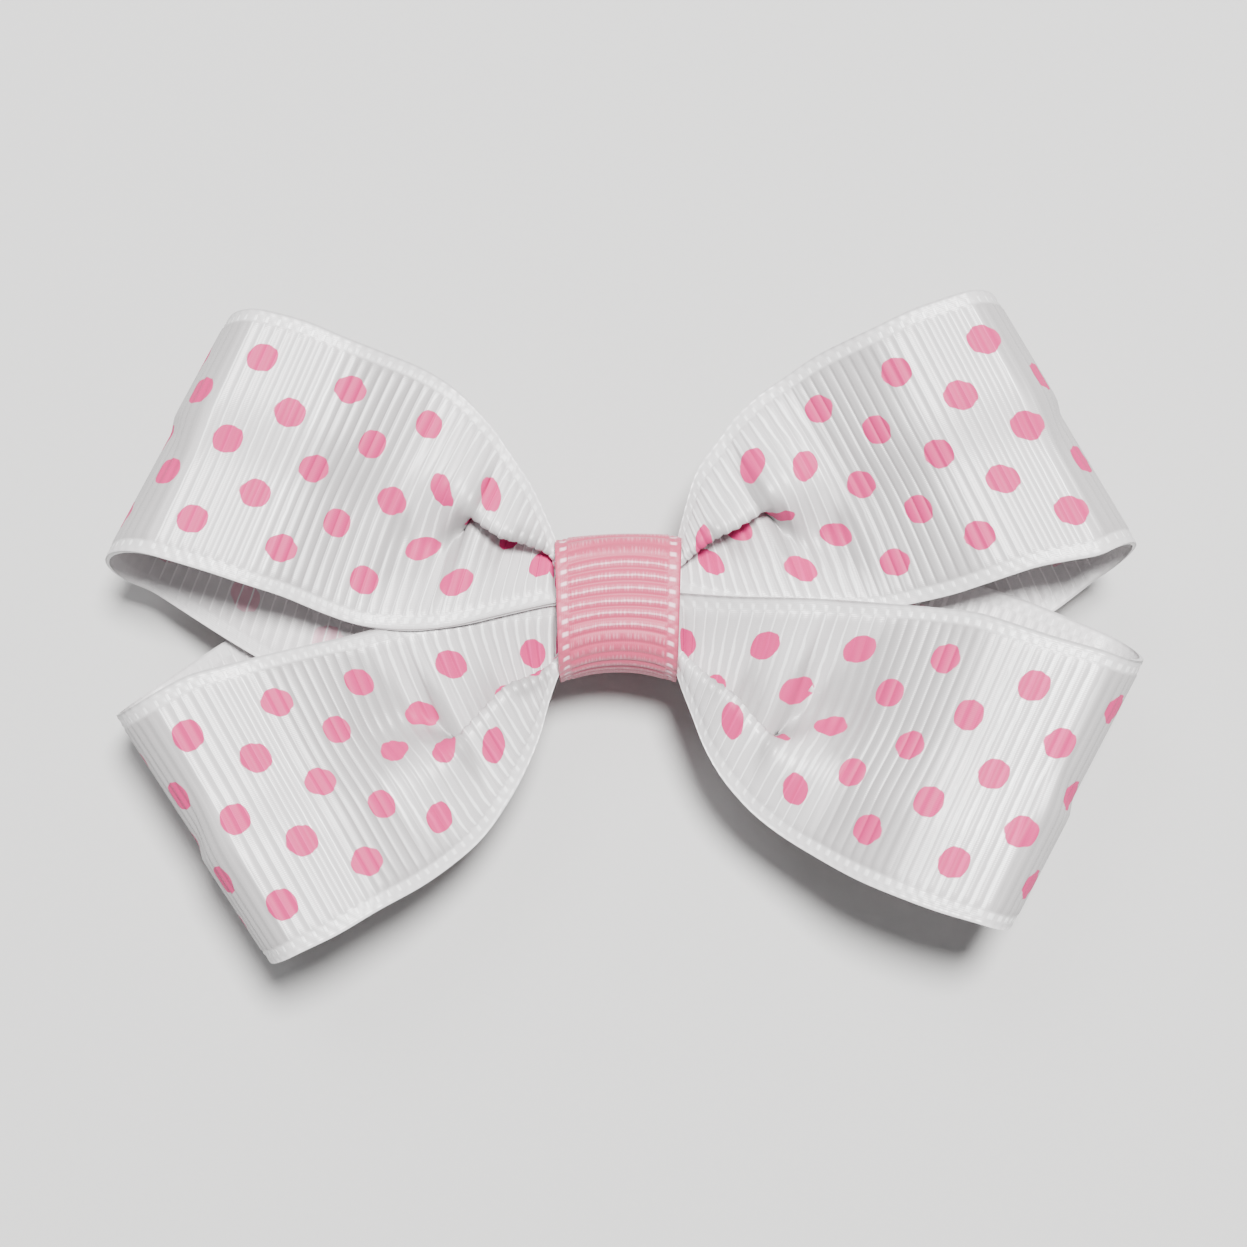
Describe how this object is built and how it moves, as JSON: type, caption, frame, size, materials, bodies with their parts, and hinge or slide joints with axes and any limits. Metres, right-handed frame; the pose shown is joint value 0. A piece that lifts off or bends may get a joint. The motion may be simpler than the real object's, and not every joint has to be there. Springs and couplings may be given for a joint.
{
  "type": "hair bow",
  "caption": "Ribbon hair bow with crossed loops, a gathered waist under a narrow wrap, and a toothed spring clip behind it.",
  "frame": {"origin": "under the middle of the bow's outline, on the surface that the clip rests on", "axes": "+X to the right along the clip, from its nose to its lever; +Y up across the bow as worn; +Z out of the bow's front"},
  "size_m": [0.0798, 0.0508, 0.0167],
  "materials": {
    "white_ribbon": "woven ribbed grosgrain with printed pink dots",
    "pink_ribbon": "woven ribbed grosgrain",
    "thread": "matte twisted thread",
    "glue": "set hot glue, glossy",
    "clip_steel": "bright plated sheet steel",
    "pin_steel": "satin steel",
    "spring_steel": "drawn spring wire"
  },
  "bodies": {
    "bow": {"front_ribbon": "white_ribbon", "back_ribbon": "white_ribbon", "binding_thread": "thread", "centre_wrap": "pink_ribbon", "glue_bow_to_clip": "glue", "glue_wrap_seam": "glue", "clip_upper_arm": "clip_steel", "clip_lining": "pink_ribbon", "hinge_pin": "pin_steel", "torsion_spring": "spring_steel"},
    "lower_jaw": {"clip_lower_arm": "clip_steel"}
  },
  "joints": [
    {"name": "clip_hinge", "type": "hinge", "parent": "bow", "child": "lower_jaw", "pos_m": [0.00905, 0.00185, 0.00371], "axis": [0, -1, 0], "range_deg": [0, 18], "stiffness_Nm_per_rad": 0.05, "springref_deg": -34.38, "deforming": ["torsion_spring"]}
  ]
}
